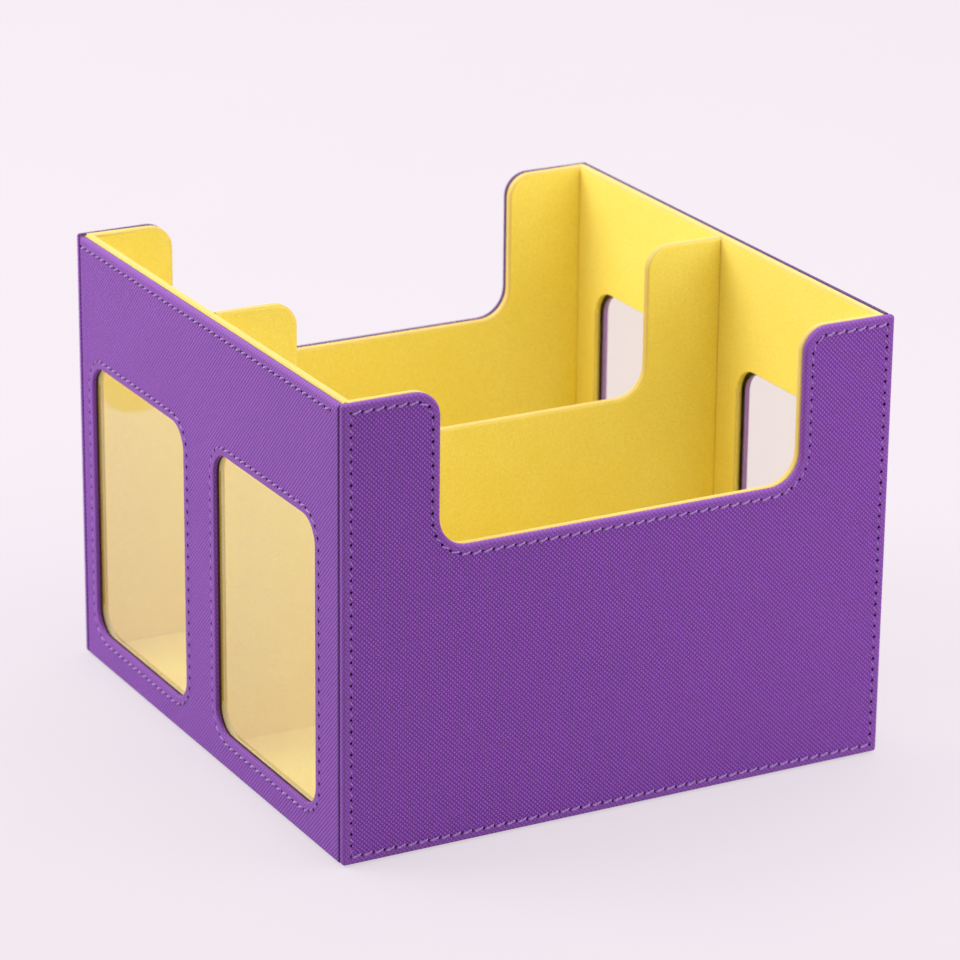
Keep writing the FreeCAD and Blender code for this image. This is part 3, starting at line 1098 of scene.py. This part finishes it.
# Light in the studio: an even white surround, three soft boxes, a small lamp close to the
# far end of the side wall and a black flag that shades its near end.
SURROUND = 1.25
world = bpy.data.worlds.new("soft studio")
bpy.context.scene.world = world
world.use_nodes = True
world.node_tree.nodes.clear()
surround = add_node(world.node_tree, "ShaderNodeBackground", {}, {
    "Color": linear("#fdf8fc"), "Strength": SURROUND})
horizon = add_node(world.node_tree, "ShaderNodeBackground", {}, {
    "Color": linear("#f0e7ee"), "Strength": 1.0})
path = add_node(world.node_tree, "ShaderNodeLightPath").outputs
seen = add_node(world.node_tree, "ShaderNodeMath", {"operation": "MAXIMUM"}, {
    0: path["Is Camera Ray"], 1: path["Is Transmission Ray"]}).outputs[0]
sky = add_node(world.node_tree, "ShaderNodeMixShader", {}, {
    0: seen, 1: surround.outputs[0], 2: horizon.outputs[0]}).outputs[0]
add_node(world.node_tree, "ShaderNodeOutputWorld", {}, {"Surface": sky})


def only_for(thing, cover, *rays):
    """Covers a studio thing that only these kinds of light ray meet."""
    thing.data.materials.append(cover)
    for ray in ("camera", "diffuse", "glossy", "transmission", "shadow"):
        setattr(thing, "visible_" + ray, ray in rays)


def softbox(name, place, aim, size, power):
    """Square soft light at a place, turned to its aim."""
    lamp = bpy.data.lights.new(name, "AREA")
    lamp.shape = "SQUARE"
    lamp.size = size
    lamp.energy = power
    holder = bpy.data.objects.new(name, lamp)
    bpy.context.scene.collection.objects.link(holder)
    holder.location = place
    holder.rotation_mode = "QUATERNION"
    holder.rotation_quaternion = (Vector(aim) - Vector(place)).to_track_quat("-Z", "Y")
    return holder


TRAY_MIDDLE = (0, 0, 0.07)
SIDE_WALL_FAR_END = (0.09, 0.05, 0.07)
softbox("key", (-0.9, -1.3, 1.3), TRAY_MIDDLE, 1.2, 20.0)
softbox("side", (1.3, 0.9, 1.0), TRAY_MIDDLE, 1.2, 2.0)
softbox("overhead", (0.3, 0.3, 1.7), TRAY_MIDDLE, 1.4, 5.5)
softbox("near", (0.42, 0.42, 0.34), SIDE_WALL_FAR_END, 0.3, 0.42)

bpy.ops.mesh.primitive_plane_add(size=1.0)
flag = bpy.context.object
flag.name = "black_flag"
flag.scale = (0.60, 0.53, 1)
flag.location = (0.36, -0.30, 0.24)
flag.rotation_mode = "QUATERNION"
flag.rotation_quaternion = Vector((-0.75, 0.55, -0.25)).to_track_quat("Z", "Y")
only_for(flag, flag_cloth, "diffuse", "shadow")

# Yellow card on the table, mirrored in the upper corner of one front window.
bpy.ops.mesh.primitive_circle_add(vertices=48, radius=1.0, fill_type="NGON")
yellow_card = bpy.context.object
yellow_card.name = "yellow_card"
yellow_card.scale = (0.150, 0.0293, 1)
yellow_card.location = (-0.428, -0.288, 0.001)
yellow_card.rotation_euler.z = 0.63
only_for(yellow_card, yellow_paper, "glossy")

# Camera: direction it looks from, roll, place, lens, and what is sharpest.
AZIMUTH = math.radians(61.432)
ELEVATION = math.radians(20.089)
ROLL = math.radians(0.595)
CAMERA_PLACE = Vector((1135.94, -615.80, 548.73)) * MM
FOCAL_PIXELS = 4330.0
IMAGE_PIXELS = 960
SENSOR = 36.0
NEAR_EDGE = Vector((92, -60, 80)) * MM
APERTURE = 30.0

back = Vector((math.sin(AZIMUTH) * math.cos(ELEVATION),
               -math.cos(AZIMUTH) * math.cos(ELEVATION), math.sin(ELEVATION)))
level = Vector((math.cos(AZIMUTH), math.sin(AZIMUTH), 0))
upright = back.cross(level)
right = level * math.cos(ROLL) + upright * math.sin(ROLL)
up = upright * math.cos(ROLL) - level * math.sin(ROLL)
camera = bpy.data.objects.new("camera", bpy.data.cameras.new("camera"))
bpy.context.scene.collection.objects.link(camera)
camera.data.sensor_width = SENSOR
camera.data.lens = FOCAL_PIXELS / IMAGE_PIXELS * SENSOR
camera.matrix_world = Matrix(((right.x, up.x, back.x, CAMERA_PLACE.x),
                              (right.y, up.y, back.y, CAMERA_PLACE.y),
                              (right.z, up.z, back.z, CAMERA_PLACE.z),
                              (0, 0, 0, 1)))
camera.data.dof.use_dof = True
camera.data.dof.focus_distance = (CAMERA_PLACE - NEAR_EDGE).length
camera.data.dof.aperture_fstop = APERTURE
camera.data.clip_start = 0.05
camera.data.clip_end = 50.0
bpy.context.scene.camera = camera
bpy.context.scene.view_settings.view_transform = "Standard"
